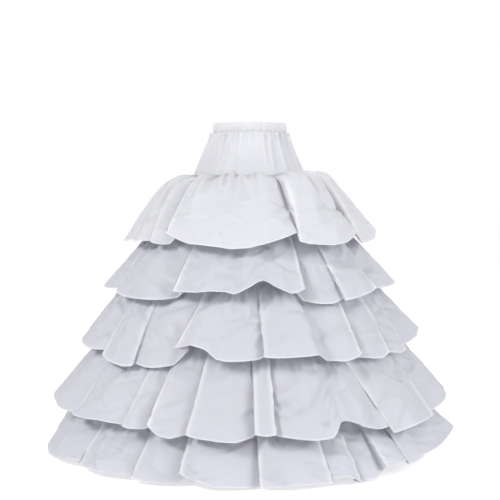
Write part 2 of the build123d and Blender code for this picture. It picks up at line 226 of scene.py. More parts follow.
@dataclass
class Ruffle:
    """One flounce: its seam, its fall, how it stands off the underskirt, and its folds."""

    number: int
    seam: float
    fall: float
    depth: float
    folds: tuple
    hem: tuple
    stand: float = 36.0
    puff: float = 0.0
    crest_rise: float = 0.0
    arch: float = 12.0
    seed: int = 1
    ridges: tuple = ()
    waves: list = field(default_factory=list)
    creases: list = field(default_factory=list)

    @property
    def name(self):
        return f"ruffle_{self.number}_cloth"

    @property
    def crest_radius(self):
        return cloth_radius(self.seam - self.fall) + self.stand + self.depth

    @property
    def degree(self):
        """The length of one degree round the crests at the hem."""
        return math.radians(1) * self.crest_radius

    def stand_off(self, step, openness):
        """How far the cloth stands off the underskirt at a step down its fall."""
        puffed = self.puff * (1 - step) * (1 - np.exp(-step / PUFF_RISE))
        return SEAM_CLEARANCE + self.stand * step + (self.depth * step**0.8 + puffed) * openness

    def crest_at(self, height):
        """How far a crest's outer face stands off the underskirt at a height."""
        step = max(0.0, (self.seam - height) / self.fall)
        return self.stand_off(step, 1.0) + RUFFLE_GATHER + RUFFLE_CLOTH

    def gather_up(self):
        """Draw the small pleats at the seam and the drag creases, the same on every run."""
        draw = random.Random(self.seed)
        count = int(2 * math.pi * cloth_radius(self.seam) / GATHER_SPACING)
        for index in range(count):
            angle = 360.0 * (index + draw.uniform(-0.42, 0.42)) / count
            long_one = draw.random() < 0.25
            reach = draw.uniform(0.6, 1.1) if long_one else draw.uniform(0.3, 0.6)
            height = draw.uniform(5.0, 9.0) if long_one else draw.uniform(3.5, 7.5)
            width = draw.uniform(0.22, 0.36) * 360.0 / count
            self.waves.append((angle, draw.uniform(-3.0, 3.0), width, height, reach))
        for _ in range(int(self.crest_radius * 0.38)):
            slant = draw.choice((-1, 1)) * draw.uniform(0.1, 1.3)
            self.creases.append((
                draw.uniform(-180.0, 180.0), draw.uniform(0.25, 0.95), slant,
                draw.uniform(22.0, 75.0), draw.uniform(4.0, 9.0),
                draw.choice((-1, 1)) * draw.uniform(2.0, 6.0),
            ))
        self.waves.extend(self.ridges)

    def folded(self, angle, step):
        """How open the cloth stands (1 on a crest), and how far it is laid sideways."""
        openness = np.ones(np.broadcast_shapes(angle.shape, step.shape))
        shift = np.zeros_like(openness)
        lips = [fold[0] for fold in self.folds]
        for index, (lip, _, deep, side) in enumerate(self.folds):
            off = apart(angle, lip) * self.degree
            if side == 0:
                openness *= 1 - deep * np.exp(-((off / VALLEY_HALF) ** 2))
                continue
            behind = lips[index - 1] if side > 0 else lips[(index + 1) % len(lips)]
            room = abs(apart(behind, lip)) * self.degree
            reach = min(LONGEST_REACH, 0.6 * room)
            lap = min(LONGEST_LAP, 0.3 * room) * deep
            off = off * side
            under = np.clip((off + TURN_BACK + reach) / reach, 0, 1) * (off < -TURN_BACK)
            back = np.clip(-off / TURN_BACK, 0, 1) * (off >= -TURN_BACK)
            back = np.maximum(back, LIP_SHARE) * (back > 0)
            rounding = LIP_SHARE * np.exp(-np.clip(off, 0, None) / 20.0) * (off >= 0)
            openness *= 1 - deep * (under**1.9 + back + rounding)
            grown = np.clip((step - 0.04) / 0.96, 0, 1) ** 0.9
            shift += side * grown * (lap + TURN_BACK) * (under**1.4 + back)
        return openness, shift

    def surface(self, angle, step):
        """The cloth's middle face for nominal angles (columns) and steps down the fall (rows)."""
        angle, step = as_grid(angle, step)
        openness, shift = self.folded(angle, step)
        lift = np.interp(apart(angle, 0.0), *self.hem_line(), period=360.0)
        height = self.seam - self.fall * step + lift * step**1.6
        height = height + self.arch * step * (1 - openness)
        uneven = 0.6 + 0.3 * np.sin(np.radians(angle)) + 0.2 * np.sin(np.radians(angle * 17))
        rise = self.crest_rise * uneven * np.exp(-(((step - 0.05) / 0.07) ** 2))
        height = height + rise * openness
        radius = cloth_radius(self.seam - self.fall * step + 0.0 * angle)
        radius = radius + self.stand_off(step, openness)
        lips = [fold[0] for fold in self.folds]
        lean = np.interp(angle, lips, [fold[1] - fold[0] for fold in self.folds], period=360)
        return around(radius, angle + shift / self.degree + lean * (1 - step**0.8), height)

    def calm(self, angle, step):
        """How freely the cloth may buckle: little at pressed lips and the sides, fully on lobes."""
        angle, step = as_grid(angle, step)
        free = np.ones(np.broadcast_shapes(angle.shape, step.shape))
        for lip, _, deep, side in self.folds:
            if side:
                off = apart(angle, lip) * self.degree * side
                spread = np.where(off > 0, 18.0, 34.0)
                free *= 1 - 0.8 * deep * np.exp(-((off / spread) ** 2))
        for outline in (-OUTLINE_ANGLE, OUTLINE_ANGLE):
            free *= 1 - 0.85 * np.exp(-((apart(angle, outline) / OUTLINE_CALM) ** 2))
        return free[..., None]

    def painted_lip_highlight(self, angle):
        """Where the cloth folds over along a lip: a painted highlight there stands in for the light
        catching the folded edge.
        """
        folded = np.zeros(len(angle))
        for lip, _, deep, side in self.folds:
            off = apart(angle, lip) * self.degree * side
            band = deep * np.exp(-((np.clip(off, 0, None) / 11.0) ** 2)) * (off > -6.0)
            folded = np.maximum(folded, band * abs(side))
        return folded

    def hem_line(self):
        """The hem's lift all round: the drawn front, and lobes of much the same kind behind."""
        draw = random.Random(self.seed + 50)
        points = dict(self.hem)
        last = max(points)
        for lip, _, _, side in self.folds:
            if apart(lip, 0.0) < min(points) or lip > last:
                here = apart(lip, 0.0)
                points[here] = draw.uniform(4.0, 26.0)
                points[here - side * 3.5] = draw.uniform(-12.0, 4.0)
                points[here + side * 10.0] = draw.uniform(-8.0, 4.0)
        angles = sorted(points)
        return angles, [points[angle] for angle in angles]

    def relief(self, angle, step):
        """How far gathers and creases push the cloth out, for the same columns and rows."""
        angle, step = as_grid(angle, step)
        out = np.zeros((step.shape[0], angle.shape[1]))
        for centre, lean, width, height, reach in self.waves:
            fade = np.clip(1 - step / reach, 0, 1) ** 1.2 * np.clip(step / 0.02, 0.35, 1)
            spread = width * (1 + 0.9 * step)
            out += height * fade * np.exp(-((apart(angle, centre + lean * step) / spread) ** 2))
        below_seam = np.clip(step / 0.2, 0, 1)
        for centre, level, slant, length, width, height in self.creases:
            along = apart(angle, centre) * self.degree
            down = (step - level) * self.fall - slant * along / 2
            away = along / length
            out += height * np.exp(-(np.abs(down / width) ** 1.5) - away**2) * below_seam
        return out


def sew_plan():
    """The five ruffles from the top down, each hung clear of the next one's crests."""
    ruffles = [Ruffle(5, 196.0, 192.0, 46.0, FOLDS_5, HEM_5, arch=0.0, seed=15)]
    for number, seam, fall, depth, folds, hem in (
        (4, 353.0, 214.0, 62.0, FOLDS_4, HEM_4),
        (3, 516.0, 186.0, 58.0, FOLDS_3, HEM_3),
        (2, 676.0, 184.0, 58.0, FOLDS_2, HEM_2),
        (1, 813.0, 190.0, 52.0, FOLDS_1, HEM_1),
    ):
        stand = ruffles[0].crest_at(seam - fall) + RUFFLE_CLEARANCE
        ruffles.insert(0, Ruffle(number, seam, fall, depth, folds, hem, stand, seed=10 + number))
    ruffles[0].puff = 80.0
    ruffles[0].crest_rise = 22.0
    ruffles[0].ridges = RIDGES_1
    for ruffle in ruffles:
        ruffle.gather_up()
    return ruffles


def even_columns(ruffle, spacing):
    """Nominal angles an even distance apart along the cloth near its hem, and the distances."""
    dense = np.linspace(-180.0, 180.0, 7201)
    line = ruffle.surface(dense, [0.92])[0]
    steps = np.linalg.norm(np.diff(line, axis=0), axis=1)
    along = np.concatenate([[0.0], np.cumsum(steps)])
    count = int(round(along[-1] / spacing))
    wanted = np.linspace(0.0, along[-1], count, endpoint=False)
    return np.interp(wanted, along, dense), wanted, along[-1]


def grid_normals(points):
    """Unit normals of a grid of points that is closed round its columns, facing outwards."""
    across = np.roll(points, -1, axis=1) - np.roll(points, 1, axis=1)
    down = np.gradient(points, axis=0)
    normal = np.cross(down, across)
    return normal / np.maximum(np.linalg.norm(normal, axis=-1, keepdims=True), 1e-9)


def ruffled(ruffle, angles, steps):
    """A ruffle's middle face with its gathers and creases."""
    smooth = ruffle.surface(angles, steps)
    relief = ruffle.relief(angles, steps)[..., None] * ruffle.calm(angles, steps)
    return smooth + grid_normals(smooth) * relief


class Drape:
    """One ruffle cut a little wider and longer than its place, and let settle into it."""

    def __init__(self, ruffle):
        angles, _, _ = even_columns(ruffle, DRAPE_SPACING)
        steps = np.linspace(0.0, 1.0, DRAPE_ROWS)
        self.start = ruffled(ruffle, angles, steps) * MM
        index = np.arange(DRAPE_ROWS * len(angles)).reshape(DRAPE_ROWS, len(angles))
        right = np.roll(index, -1, axis=1)
        faces = np.stack([index[:-1], index[1:], right[1:], right[:-1]], axis=-1).reshape(-1, 4)
        mesh = bpy.data.meshes.new("drape")
        mesh.from_pydata(self.start.reshape(-1, 3).tolist(), [], faces.tolist())
        self.piece = bpy.data.objects.new("drape", mesh)
        bpy.context.scene.collection.objects.link(self.piece)
        held = self.piece.vertex_groups.new(name="held")
        for row, step in enumerate(steps):
            held.add(index[row].tolist(), 1.0 if row == 0 else 0.1 * (1 - step) + 0.03, "REPLACE")
        modifier = self.piece.modifiers.new("Cloth", "CLOTH")
        modifier.collision_settings.use_collision = False
        cloth = modifier.settings
        cloth.quality = 4
        cloth.mass = 0.12
        cloth.tension_stiffness = 18
        cloth.compression_stiffness = 18
        cloth.shear_stiffness = 6
        cloth.bending_stiffness = 4.0
        cloth.air_damping = 2.0
        cloth.vertex_group_mass = "held"
        cloth.pin_stiffness = 2.0
        cloth.shrink_min = -DRAPE_FULLNESS
        cloth.shrink_max = -DRAPE_FULLNESS
        cloth.effector_weights.gravity = 0.02

    def settled(self):
        """How the cloth has buckled, without its long waves and with no point moved too far."""
        graph = bpy.context.evaluated_depsgraph_get()
        mesh = self.piece.evaluated_get(graph).data
        points = np.empty(len(mesh.vertices) * 3)
        mesh.vertices.foreach_get("co", points)
        bpy.data.objects.remove(self.piece)
        moved = (points.reshape(self.start.shape) - self.start) / MM
        waves = np.fft.rfft(moved, axis=1)
        girth = moved.shape[1] * DRAPE_SPACING
        per_length = np.arange(waves.shape[1]) * LONGEST_BUCKLE / girth
        waves *= (1 - np.exp(-(per_length**2)))[None, :, None]
        moved = np.fft.irfft(waves, n=moved.shape[1], axis=1)
        far = np.linalg.norm(moved, axis=-1, keepdims=True)
        return moved * FARTHEST_MOVE * np.tanh(far / FARTHEST_MOVE) / np.maximum(far, 1e-6)


def settle(ruffles):
    """Let all the ruffles settle together, and return each one's moves on its coarse grid."""
    drapes = [Drape(ruffle) for ruffle in ruffles]
    for frame_number in range(1, SETTLE_FRAMES + 1):
        bpy.context.scene.frame_set(frame_number)
    moves = [drape.settled() for drape in drapes]
    bpy.context.scene.frame_set(1)
    return moves


def cubic_taps(where, count, wrap):
    """The four coarse indices and weights from which each fine place is read."""
    base = np.floor(where).astype(int)
    share = where - base
    taps = [base - 1, base, base + 1, base + 2]
    taps = [tap % count if wrap else np.clip(tap, 0, count - 1) for tap in taps]
    a, b, c = share, share**2, share**3
    weights = [
        (-a + 2 * b - c) / 2, (2 - 5 * b + 3 * c) / 2, (a + 4 * b - 3 * c) / 2, (c - b) / 2,
    ]
    return list(zip(taps, weights))


def resample(grid, rows, columns):
    """A coarse grid of moves read smoothly at fine rows and columns."""
    across = sum(grid[:, tap] * weight[None, :, None]
                 for tap, weight in cubic_taps(columns, grid.shape[1], True))
    return sum(across[tap] * weight[:, None, None]
               for tap, weight in cubic_taps(rows, grid.shape[0], False))


def strip(upper, lower, along, ups):
    """Faces between two rows of points all round, and their corners' places on the flat cloth."""
    column = np.arange(len(along) - 1)
    after = np.roll(column, -1)
    faces = np.stack([upper + column, lower + column, lower + after, upper + after], axis=1)
    left, right = along[:-1], along[1:]
    u = np.stack([left, left, right, right], axis=1)
    v = np.tile([ups[0], ups[1], ups[1], ups[0]], (len(column), 1))
    return faces, np.stack([u, v], axis=-1)


def turned(faces_and_places):
    """The same strip with its faces turned over."""
    return tuple(part[:, ::-1] for part in faces_and_places)


def new_piece(name, grids, strips, smooth):
    """A piece of cloth from grids of points and strips of faces, with the flat cloth as its UVs."""
    points = np.concatenate([grid.reshape(-1, 3) for grid in grids]) * MM
    faces = np.concatenate([faces for faces, _ in strips])
    places = np.concatenate([places for _, places in strips]) * MM
    mesh = bpy.data.meshes.new(name)
    mesh.vertices.add(len(points))
    mesh.vertices.foreach_set("co", points.ravel())
    mesh.loops.add(faces.size)
    mesh.loops.foreach_set("vertex_index", faces.ravel())
    mesh.polygons.add(len(faces))
    mesh.polygons.foreach_set("loop_start", np.arange(0, faces.size, 4))
    mesh.uv_layers.new(name="Cloth").data.foreach_set("uv", places.ravel())
    mesh.update(calc_edges=True)
    mesh.validate()
    mesh.polygons.foreach_set("use_smooth", np.full(len(mesh.polygons), smooth))
    piece = bpy.data.objects.new(name, mesh)
    bpy.context.scene.collection.objects.link(piece)
    return piece


def closed_cloth(name, outer, inner, along, ups):
    """A closed shell from an outer and an inner grid, both from the top down and round."""
    rows, columns = outer.shape[:2]
    inside, last = rows * columns, (rows - 1) * columns
    strips = []
    for row in range(rows - 1):
        here, below, levels = row * columns, (row + 1) * columns, ups[row:row + 2]
        strips.append(strip(here, below, along, levels))
        strips.append(turned(strip(inside + here, inside + below, along, levels)))
    strips.append(strip(inside, 0, along, [ups[0], ups[0]]))
    strips.append(strip(last, inside + last, along, [ups[-1], ups[-1]]))
    return new_piece(name, [outer, inner], strips, True)


def channelled_ring(name, outer, channel, girth, smooth):
    """A ring of cloth with a channel in it, from loops of rings that run round each section."""
    start, strips = 0, []
    for loop in (outer, channel):
        rows, columns = loop.shape[:2]
        along = girth * np.arange(columns + 1) / columns
        lengths = np.linalg.norm(np.roll(loop[:, 0], -1, axis=0) - loop[:, 0], axis=1)
        ups = np.concatenate([[0.0], np.cumsum(lengths)])
        for row in range(rows):
            here, below = start + row * columns, start + (row + 1) % rows * columns
            strips.append(turned(strip(here, below, along, ups[row:row + 2])))
        start += rows * columns
    return new_piece(name, [outer, channel], strips, smooth)


def packed(node):
    """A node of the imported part, or an error if it isn't there."""
    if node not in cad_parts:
        raise RuntimeError(f"The packed part has no node {node}, so its piece can't be finished.")
    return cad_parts[node]


def dress(piece, material, node):
    """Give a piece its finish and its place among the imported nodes."""
    packed(node)
    piece.data.materials.append(material)
    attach(piece, "root")
    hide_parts(node)


class Nodes:
    """A short way to lay out the shader nodes of a material or a world."""

    def __init__(self, owner):
        self.owner = owner
        owner.use_nodes = True
        self.tree = owner.node_tree
        self.tree.nodes.clear()

    def add(self, kind, links=None, **settings):
        """A new node, with its inputs linked or set."""
        node = self.tree.nodes.new(kind)
        for key, value in settings.items():
            setattr(node, key, value)
        for key, value in (links or {}).items():
            if hasattr(value, "is_output"):
                self.tree.links.new(value, node.inputs[key])
            else:
                node.inputs[key].default_value = value
        return node

    def maths(self, operation, first, second=0.0, third=0.0):
        """The result of a sum on one to three values."""
        node = self.add("ShaderNodeMath", {0: first, 1: second, 2: third}, operation=operation)
        return node.outputs[0]

    def mix(self, share, first, second):
        """A mix of two colours."""
        node = self.add("ShaderNodeMix", {0: share, 6: first, 7: second}, data_type="RGBA")
        return node.outputs[2]

    def seen(self):
        """1 for rays that show the white ground itself, and 0 for those that light the cloth."""
        rays = self.add("ShaderNodeLightPath").outputs
        shown = self.maths("MAXIMUM", rays["Is Camera Ray"], rays["Is Glossy Ray"])
        return self.maths("MAXIMUM", shown, rays["Is Transmission Ray"])

    def finish(self, shader, output="ShaderNodeOutputMaterial"):
        """The material or world, with this shader on its surface."""
        self.tree.links.new(shader, self.add(output).inputs["Surface"])
        return self.owner


def darker(colour, share):
    """A share of a colour's light."""
    return [share * channel for channel in colour[:3]] + [1.0]


def cloth_finish(name, colour, hem_and_highlight_colour, hem_width, see_through,
                 weave=2600.0, stitch_and_shadow_frequency=2300.0, stitch_and_shadow_strength=0.25):
    """Stiff woven cloth: fine weave, thread slubs, crinkles, a stitched hem lightened partly by a
    painted highlight, painted highlights along the lips, and a dashed row that on the waistband also
    paints the puckers' shadows.
    """
    n = Nodes(bpy.data.materials.new(name))
    uv = n.add("ShaderNodeUVMap", uv_map="Cloth").outputs[0]
    along, up, _ = n.add("ShaderNodeSeparateXYZ", {0: uv}).outputs
    stretched = n.add("ShaderNodeMapping", {"Vector": uv, "Scale": (30.0, 420.0, 1.0)}).outputs[0]
    slubs = n.add("ShaderNodeTexNoise", {"Vector": stretched, "Scale": 1.0, "Detail": 3.0}).outputs[0]
    broad = n.add("ShaderNodeTexNoise", {"Vector": uv, "Scale": 14.0, "Detail": 2.0}).outputs[0]
    warp = n.maths("SINE", n.maths("MULTIPLY", along, weave))
    weft = n.maths("SINE", n.maths("MULTIPLY", up, weave))
    woven = n.maths("MULTIPLY_ADD", warp, weft, 1.0)
    in_hem = n.maths("LESS_THAN", up, hem_width)
    # A dashed row: a stitch line, and on the waistband, with its pitch and strength, also painted
    # shadows of the puckers in the groove.
    row = n.maths("COMPARE", up, hem_width * 0.86, 0.0006)
    dash = n.maths("GREATER_THAN", n.maths("SINE", n.maths("MULTIPLY", along, stitch_and_shadow_frequency)), -0.3)
    stitch_and_shadow_dashes = n.maths("MULTIPLY", row, dash)
    base = n.mix(n.maths("MULTIPLY", slubs, 0.5), colour, darker(colour, 0.94))
    base = n.mix(n.maths("MULTIPLY", broad, 0.35), base, darker(colour, 0.94))
    # Painted highlight: the lips are painted towards the hem colour, standing in for light on the
    # folded edges.
    painted_lip_highlight = n.add("ShaderNodeAttribute", attribute_name="painted_lip_highlight").outputs["Fac"]
    base = n.mix(painted_lip_highlight, base, hem_and_highlight_colour)
    # The hem band is lighter: partly the turned hem's double layer of cloth, partly a painted
    # highlight standing in for the bright line along the hem edge.
    base = n.mix(n.maths("MULTIPLY", in_hem, 0.38), base, hem_and_highlight_colour)
    # Darken the dashed row: stitches, and on the waistband painted shade from the puckers.
    base = n.mix(n.maths("MULTIPLY", stitch_and_shadow_dashes, stitch_and_shadow_strength), base, darker(colour, 0.6))
    slanted = n.add("ShaderNodeMapping", {
        "Vector": uv, "Rotation": (0.0, 0.0, 0.5), "Scale": (8.0, 15.0, 1.0),
    }).outputs[0]
    crinkles = n.add("ShaderNodeTexNoise", {
        "Vector": slanted, "Scale": 1.0, "Detail": 2.0, "Roughness": 0.4, "Distortion": 0.8,
    }, noise_type="RIDGED_MULTIFRACTAL").outputs[0]
    crinkled = n.add("ShaderNodeBump", {
        "Height": crinkles, "Strength": 0.8, "Distance": 0.007,
    }).outputs[0]
    height = n.maths("MULTIPLY_ADD", woven, 0.15, n.maths("MULTIPLY", slubs, 0.8))
    height = n.maths("MULTIPLY_ADD", stitch_and_shadow_dashes, -0.8, height)
    bump = n.add("ShaderNodeBump", {
        "Height": height, "Strength": 0.35, "Distance": 0.0003, "Normal": crinkled,
    }).outputs[0]
    solid = n.add("ShaderNodeBsdfPrincipled", {
        "Base Color": base, "Normal": bump, "Roughness": 0.5, "Sheen Weight": 0.2,
        "Sheen Roughness": 0.4, "Specular IOR Level": 0.35,
    }).outputs[0]
    sheer = n.add("ShaderNodeBsdfTranslucent", {"Color": base, "Normal": bump}).outputs[0]
    return n.finish(n.add("ShaderNodeMixShader", {0: see_through, 1: solid, 2: sheer}).outputs[0])


def elastic_finish(colour):
    """Knitted elastic: fine upright ribs crossed by short loops."""
    n = Nodes(bpy.data.materials.new("knitted_elastic"))
    place = n.add("ShaderNodeTexCoord").outputs["Object"]
    x, y, z = n.add("ShaderNodeSeparateXYZ", {0: place}).outputs
    ribs = n.maths("SINE", n.maths("MULTIPLY", n.maths("ARCTAN2", x, y), 420.0))
    loops = n.maths("SINE", n.maths("MULTIPLY", z, 3800.0))
    knit = n.maths("MULTIPLY", ribs, loops)
    base = n.mix(n.maths("MULTIPLY_ADD", knit, 0.3, 0.4), colour, darker(colour, 0.8))
    bump = n.add("ShaderNodeBump", {"Height": knit, "Strength": 0.6, "Distance": 0.0004}).outputs[0]
    return n.finish(n.add("ShaderNodeBsdfPrincipled", {
        "Base Color": base, "Normal": bump, "Roughness": 0.8,
    }).outputs[0])


def steel_finish(name, colour, roughness, lines):
    """Rolled steel strip: fine lines along its length and faint handling marks."""
    n = Nodes(bpy.data.materials.new(name))
    place = n.add("ShaderNodeTexCoord").outputs["Object"]
    x, y, z = n.add("ShaderNodeSeparateXYZ", {0: place}).outputs
    rolled = n.add("ShaderNodeCombineXYZ", {
        0: n.maths("MULTIPLY", n.maths("ARCTAN2", x, y), 3.0), 1: n.maths("MULTIPLY", z, lines),
    }).outputs[0]
    streaks = n.add("ShaderNodeTexNoise", {"Vector": rolled, "Scale": 2.0, "Detail": 4.0}).outputs[0]
    marks = n.add("ShaderNodeTexNoise", {"Vector": place, "Scale": 60.0, "Detail": 3.0}).outputs[0]
    base = n.mix(streaks, colour, darker(colour, 0.7))
    rough = n.maths("MULTIPLY_ADD", marks, 0.2, roughness - 0.1)
    bump = n.add("ShaderNodeBump", {
        "Height": streaks, "Strength": 0.2, "Distance": 0.0002,
    }).outputs[0]
    return n.finish(n.add("ShaderNodeBsdfPrincipled", {
        "Base Color": base, "Metallic": 1.0, "Roughness": rough, "Normal": bump,
    }).outputs[0])


class ClothSettings(bpy.types.PropertyGroup):
    """Sizes and colours of the petticoat's cloth."""

    thickness: bpy.props.FloatProperty(
        name="Cloth thickness", description="Thickness of the cloth of the ruffles and the yoke",
        default=0.0005, min=0.0002, max=0.002, unit="LENGTH", precision=4)
    hem_width: bpy.props.FloatProperty(
        name="Hem width", description="Width of each ruffle's turned hem", default=0.0045,
        min=0.003, max=0.02, unit="LENGTH", precision=4)
    hem_thickness: bpy.props.FloatProperty(
        name="Hem thickness", description="Thickness of the turned hem", default=0.0013,
        min=0.0008, max=0.004, unit="LENGTH", precision=4)
    column_spacing: bpy.props.FloatProperty(
        name="Column spacing", description="Distance between mesh columns along a hem",
        default=0.0064, min=0.003, max=0.02, unit="LENGTH", precision=4)
    upper_colour: bpy.props.FloatVectorProperty(
        name="Upper cloth", description="Colour of the first ruffle, the yoke and the waistband",
        default=(0.8, 0.805, 0.83, 1.0), size=4, subtype="COLOR", min=0.0, max=1.0)
    lower_colour: bpy.props.FloatVectorProperty(
        name="Lower cloth", description="Colour of the four lower ruffles and the underskirt",
        default=(0.735, 0.737, 0.786, 1.0), size=4, subtype="COLOR", min=0.0, max=1.0)
    # This colour whitens the hems, partly for their double layer of cloth and partly as a painted
    # highlight, and is painted along the lips as a highlight on the folded edges.
    hem_and_highlight_colour: bpy.props.FloatVectorProperty(
        name="Hem", description="Colour of hems and pressed lips, where the cloth is doubled",
        default=(0.95, 0.95, 0.965, 1.0), size=4, subtype="COLOR", min=0.0, max=1.0)
    tape_colour: bpy.props.FloatVectorProperty(
        name="Casing tape", description="Colour of the tape that holds the hoops",
        default=(0.82, 0.82, 0.84, 1.0), size=4, subtype="COLOR", min=0.0, max=1.0)
    elastic_colour: bpy.props.FloatVectorProperty(
        name="Elastic", description="Colour of the waist elastic",
        default=(0.85, 0.85, 0.85, 1.0), size=4, subtype="COLOR", min=0.0, max=1.0)
    steel_colour: bpy.props.FloatVectorProperty(
        name="Steel", description="Colour of the hoops and their sleeves",
        default=(0.62, 0.63, 0.65, 1.0), size=4, subtype="COLOR", min=0.0, max=1.0)


class StageSettings(bpy.types.PropertyGroup):
    """Camera and light."""

    camera_distance: bpy.props.FloatProperty(
        name="Camera distance", description="Distance from the camera to the skirt's axis",
        default=3.7, min=2.0, max=10.0, unit="LENGTH")
    camera_height: bpy.props.FloatProperty(
        name="Camera height", description="Height of the camera over the floor", default=0.796,
        min=0.1, max=3.0, unit="LENGTH")
    camera_tilt: bpy.props.FloatProperty(
        name="Camera tilt", description="How far the camera looks down",
        default=math.radians(3.13), min=0.0, max=1.0, unit="ROTATION")
    lens: bpy.props.FloatProperty(
        name="Lens", description="Focal length of the camera in millimetres", default=86.9,
        min=20.0, max=200.0)
    ambient: bpy.props.FloatProperty(
        name="Ambient light", description="Strength of the even light from all round",
        default=0.52, min=0.0, max=3.0)
    key_power: bpy.props.FloatProperty(
        name="Key light", description="Power of the soft light from the upper left", default=125.0,
        min=0.0, max=1000.0, unit="POWER")


class PETTICOAT_OT_waistband(bpy.types.Operator):
    """Pucker the waistband's casing over its elastic"""

    bl_idname = "petticoat.waistband"
    bl_label = "Waistband"

    def execute(self, context):
        cloth = context.scene.petticoat_cloth
        angles = all_round(600)
        draw = random.Random(9)
        pucker = np.zeros(len(angles))
        count = 96
        for index in range(count):
            centre = 360.0 * (index + draw.uniform(-0.35, 0.35)) / count
            ridge = np.exp(-((apart(angles, centre) / draw.uniform(0.6, 1.1)) ** 2))
            pucker += draw.uniform(1.0, 3.0) * ridge
        radius, height, share = np.array(BAND_SECTION).T[..., None]
        uneven = 0.5 * (pucker - 1.0) * np.clip((height - 972.0) / 8.0, 0, 1)
        outer = around(radius + share * pucker, angles, height - np.clip(uneven, -0.5, 1.5))
        channel = self.channel(outer, angles)[::-1]
        girth = 2 * math.pi * WAIST_RADIUS
        piece = channelled_ring("waistband_casing", outer, channel, girth, True)
        # The dashed row under the band is painted shade: dark dashes at the puckers' pitch stand in
        # for their shadows in the groove, over the stitch line.
        material = cloth_finish("waistband_taffeta", cloth.upper_colour, cloth.hem_and_highlight_colour,
                                0.0095, 0.25, stitch_and_shadow_frequency=560.0, stitch_and_shadow_strength=0.9)
        dress(piece, material, "waistband")
        return {"FINISHED"}

    def channel(self, rings, angles):
        """The casing's inner face round the elastic, which follows the puckers a little."""
        radius = np.hypot(rings[..., 0], rings[..., 1])
        inside = radius.mean(axis=1, keepdims=True) < WAIST_RADIUS + 1.5
        radius = np.where(inside, 106.0, np.clip(radius - 1.1, 106.2, 108.6))
        height = rings[..., 2].mean(axis=1, keepdims=True)
        return around(radius, angles, BAND_MIDDLE + 0.91 * (height - BAND_MIDDLE))


class PETTICOAT_OT_yoke(bpy.types.Operator):
    """Gather the yoke under the waistband"""

    bl_idname = "petticoat.yoke"
    bl_label = "Yoke"

    def execute(self, context):
        cloth = context.scene.petticoat_cloth
        angles = all_round(840)
        top, seam = 952.0, 819.0
        heights = np.concatenate([np.linspace(top, 940.0, 7), np.linspace(936.0, seam, 24)])
        share = ((top - heights) / (top - seam))[:, None]
        radius = 107.0 + 62.0 * share**1.12 + 3.5 * np.exp(-(((share - 0.05) / 0.05) ** 2))
        middle = around(radius + self.gathers(angles, share), angles, heights[:, None])
        inset = grid_normals(middle) * cloth.thickness / MM / 2
        along = np.linspace(0.0, 2 * math.pi * YOKE_SEAM_RADIUS, len(angles) + 1)
        ups = 60.0 + heights - heights[-1]
        piece = closed_cloth("yoke_cloth", middle + inset, middle - inset, along, ups)
        material = cloth_finish("yoke_taffeta", cloth.upper_colour, cloth.hem_and_highlight_colour, 0.007, 0.4)
        dress(piece, material, "yoke")
        return {"FINISHED"}

    def gathers(self, angles, share):
        """How far the gathers push the cloth out at a share of the way down."""
        draw = random.Random(4)
        out = np.zeros((len(share), len(angles)))
        for count, stray, heights, widths, reaches, fuller in YOKE_GATHERS:
            for index in range(count):
                centre = 360.0 * (index / count) + draw.uniform(-stray, stray)
                side = 0.3 + 0.9 * min(1.0, abs(apart(centre, 0.0)) / 45.0)
                height = draw.uniform(*heights) * (side if fuller else 1.0)
                width = draw.uniform(*widths)
                fade = np.clip(1 - share / draw.uniform(*reaches), 0, 1) ** 0.8
                away = apart(angles, centre + draw.uniform(-4.0, 4.0) * share)
                out += height * fade * np.exp(-((away / (width * (1 + 0.6 * share))) ** 2))
        return out


